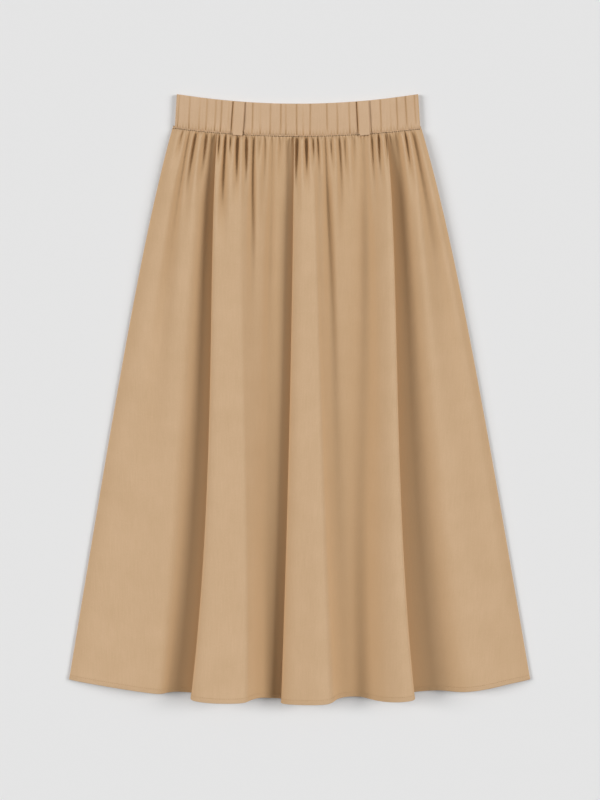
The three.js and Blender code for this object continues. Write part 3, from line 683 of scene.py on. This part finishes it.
def band_half(creases, puff, face, inside):
    """Half of the casing: rows down its outer face, over the rounded upper edge and down the inner layer.
    puff is the height of the swell. face and inside are the levels of the two layers, so that the sign of
    their difference is the side that the swell stands out on."""
    share = shared_out(np.linspace(0, 1, 2000), np.ones(2000), 620)[None]
    outward = np.sign(face - inside)
    fine = np.linspace(0, 1, 500)
    down = shared_out(fine, 1 + 3 * np.exp(-(fine - 1) ** 2 / 0.01), 26)[:, None]
    x, y = band_place(share, down)
    ends = np.minimum(share, 1 - share) * 2 * BAND_HALF_SEAM
    turned_in = np.exp(-(ends / 1.1) ** 2)
    relief = band_relief(creases, share, down) * (1 - turned_in)
    at_seam = np.exp(-((1 - down) * 42 / 1.6) ** 2)
    level = face + outward * (puff * relief * (1 - 0.6 * at_seam) - 0.75 * at_seam)
    level = level + (inside - outward * 0.15 - level) * turned_in
    outer = np.stack(np.broadcast_arrays(x, y, level), axis=-1)
    turn = np.linspace(0, np.pi, 7)[1:-1, None]
    middle, reach = (outer[:1, :, 2] + inside) / 2, (outer[:1, :, 2] - inside) / 2
    fold = np.stack([outer[:1, :, 0] + 0 * turn, outer[:1, :, 1] + 0.9 * np.sin(turn) - 0.9,
                     middle + reach * np.cos(turn)], axis=-1)
    outer[:, :, 1] -= 0.9 * (1 - down)
    x, y = band_place(share, np.linspace(0.02, 1, 8)[:, None])
    inner = np.stack(np.broadcast_arrays(x, y - 0.9, inside + 0 * x), axis=-1)
    return np.concatenate([inner[::-1], fold[::-1], outer])


band_cloth = cotton_twill("waistband_cotton_twill", BAND_COLOUR, BAND_SHADE, BAND_PAINTED_SHADE)
for name, node, creases, puff, face, inside in (
    ("waistband_front_casing", "waistband_front", BAND_CREASES, BAND_PUFF, BAND_FACE, BAND_INSIDE),
    ("waistband_back_casing", "waistband_back", BACK_BAND_CREASES, BACK_BAND_PUFF, 0.75, 2.35),
):
    surface = band_half(creases, puff, face, inside)
    if face < inside:
        surface = surface[:, ::-1]
    casing = cloth_sheet(name, surface, flat_places(surface), fold_shade(surface, np.sign(face - inside)),
                         CLOTH, band_cloth)
    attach(casing, "root")
    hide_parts(node)

# ---- Belt loops ------------------------------------------------------------------------------------
# Two strips of the same cloth, folded in three, stitched along both edges and sewn to the front of the
# waistband: at its upper edge, and just past the seam with the end turned under.
LOOP_SIDES = 1.3  # the edge stitching lies this far from each side
LOOP_LAYERS = 0.65  # thickness of a loop's pressed layers
LOOP_BOW = 0.4  # how far a loop stands off the waistband at its middle
FOOT_LIFT = 0.5  # its lower end lies on the gathers
# The third colour is painted shade between folds; the loops are given no fold depth, so it never shows on
# them.
LOOP_COLOUR, LOOP_SHADE, LOOP_PAINTED_SHADE = "#D3B392", "#CBAA88", "#BC976D"
loop_cloth = cotton_twill("belt_loop_cotton_twill", LOOP_COLOUR, LOOP_SHADE, LOOP_PAINTED_SHADE)


def belt_loop(low, top_x, foot_x, width):
    """A belt loop between two ends, as rows along it and columns round a strip with both sides turned
    under: flat, then round each edge with a radius of half its thickness, then under towards the middle."""
    down = np.linspace(0, 1, 40)[:, None]
    half, radius = width / 2, LOOP_LAYERS / 2
    turn = np.linspace(0, np.pi, 6)[1:-1]
    side = np.concatenate([[half * 0.1], [half * 0.5], half - radius + radius * np.sin(turn[::-1])])
    lift = np.concatenate([[-radius], [-radius], radius * np.cos(turn[::-1])])
    flat_part = np.linspace(half - radius, -(half - radius), 17)
    across = np.concatenate([side, flat_part, -side[::-1]])
    height = np.concatenate([lift, np.full(17, radius), lift[::-1]])
    top_y, foot_y = rise(top_x - BAND_OFF_CENTRE, BAND_TOP, BAND_TOP_RISE, BAND_HALF_TOP) - 0.5, low[1]
    x = top_x + (foot_x - top_x) * down + across
    slope = 2 * BAND_TOP_RISE * (top_x - BAND_OFF_CENTRE) / BAND_HALF_TOP ** 2
    y = top_y + (foot_y - top_y) * down + slope * across
    bow = np.sin(np.pi * down) ** 2
    groove = np.exp(-((np.abs(across) - (half - LOOP_SIDES)) / 0.45) ** 2) * (height > 0)
    z = low[2] + 0.1 + radius + height - 0.18 * groove + LOOP_BOW * bow + FOOT_LIFT * down ** 6
    return np.stack(np.broadcast_arrays(x, y, z), axis=-1)[:, ::-1]


for node, name, top_share, foot_share, width in (
    ("belt_loop_left", "left_belt_loop", 0.26, 0.255, 12.4),
    ("belt_loop_right", "right_belt_loop", 0.772, 0.774, 13.2),
):
    low = np.array(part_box(node)[0]) / MM
    top_x, foot_x = band_place(top_share, 0)[0], band_place(foot_share, 1)[0]
    strip = belt_loop(low, top_x, foot_x, width)
    loop = cloth_sheet(name, strip, flat_places(strip), np.zeros(strip.shape[:2]), CLOTH, loop_cloth)
    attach(loop, "root")
    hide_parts(node)
